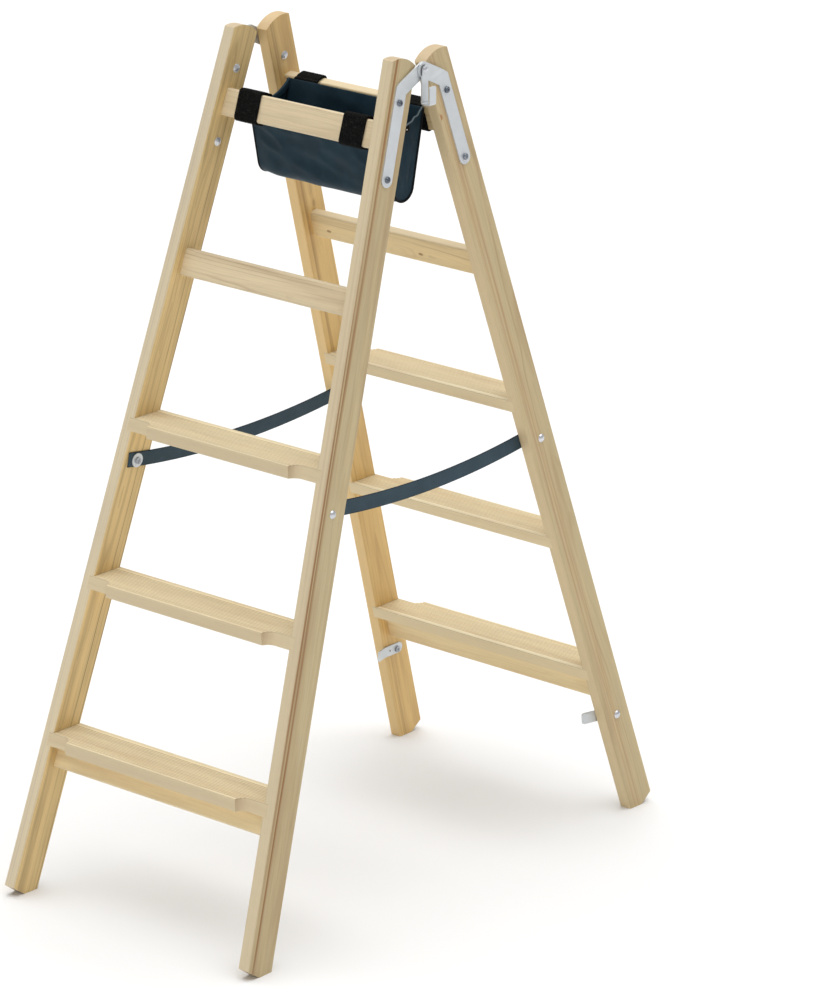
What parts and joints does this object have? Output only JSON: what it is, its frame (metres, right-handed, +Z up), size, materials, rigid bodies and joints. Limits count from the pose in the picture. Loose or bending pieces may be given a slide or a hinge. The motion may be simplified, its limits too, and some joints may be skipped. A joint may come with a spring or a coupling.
{
  "type": "trestle ladder",
  "caption": "Double-sided wooden step ladder with grooved treads, steel top hinges, webbing spreader straps, a cloth tool bag between the top rungs and a bucket hook.",
  "frame": {"origin": "middle of the ladder's box, on the floor, under the hinge pins", "axes": "+X along the treads to the right of someone facing the front section, +Y from the front section to the rear section, +Z up"},
  "size_m": [0.568, 1.0804, 1.4679],
  "materials": {
    "stile_wood": "planed pine with reddish grain and small knots, clear satin finish",
    "tread_wood": "planed pine, grooved on top",
    "rung_wood": "planed pine with rounded edges",
    "zinc_steel": "zinc plated, satin",
    "screw_steel": "zinc plated, darkened in the recesses",
    "webbing": "woven polyester webbing, matt",
    "bag_cloth": "coated woven nylon with black piping",
    "loop_tape": "black hook-and-loop tape, matt"
  },
  "bodies": {
    "front_section": {"front_left_stile": "stile_wood", "front_right_stile": "stile_wood", "front_tread_1": "tread_wood", "front_tread_2": "tread_wood", "front_tread_3": "tread_wood", "front_apron": "rung_wood", "front_rung_4": "rung_wood", "front_rung_5": "rung_wood", "front_left_hinge_arm": "zinc_steel", "front_right_hinge_arm": "zinc_steel", "left_hinge_pin": "zinc_steel", "right_hinge_pin": "zinc_steel", "front_hinge_screws": "screw_steel", "front_domed_nuts": "zinc_steel", "left_spreader_strap": "webbing", "right_spreader_strap": "webbing", "front_strap_bolts": "zinc_steel", "front_strap_washers": "zinc_steel", "front_strap_nuts": "screw_steel", "tool_bag": "bag_cloth", "front_left_bag_loop": "loop_tape", "front_right_bag_loop": "loop_tape"},
    "rear_section": {"rear_left_stile": "stile_wood", "rear_right_stile": "stile_wood", "rear_tread_1": "tread_wood", "rear_tread_2": "tread_wood", "rear_tread_3": "tread_wood", "rear_apron": "rung_wood", "rear_rung_4": "rung_wood", "rear_rung_5": "rung_wood", "rear_left_hinge_arm": "zinc_steel", "rear_right_hinge_arm": "zinc_steel", "rear_hinge_screws": "screw_steel", "rear_domed_nuts": "zinc_steel", "rear_strap_bolts": "zinc_steel", "rear_strap_washers": "zinc_steel", "rear_strap_nuts": "screw_steel", "left_guide_plate": "zinc_steel", "right_guide_plate": "zinc_steel", "guide_plate_bolts": "zinc_steel", "guide_plate_nuts": "screw_steel", "rear_left_bag_loop": "loop_tape", "rear_right_bag_loop": "loop_tape"},
    "bucket_hook": {"bucket_hook": "zinc_steel"}
  },
  "joints": [
    {"name": "fold", "type": "hinge", "parent": "front_section", "child": "rear_section", "pos_m": [0, 0, 1.44134], "axis": [-1, 0, 0], "range_deg": [0, 36.8], "deforming": ["left_spreader_strap", "right_spreader_strap", "tool_bag"]},
    {"name": "bucket_hook_swing", "type": "hinge", "parent": "front_section", "child": "bucket_hook", "pos_m": [0.19742, 0, 1.44134], "axis": [1, 0, 0], "continuous": true}
  ]
}
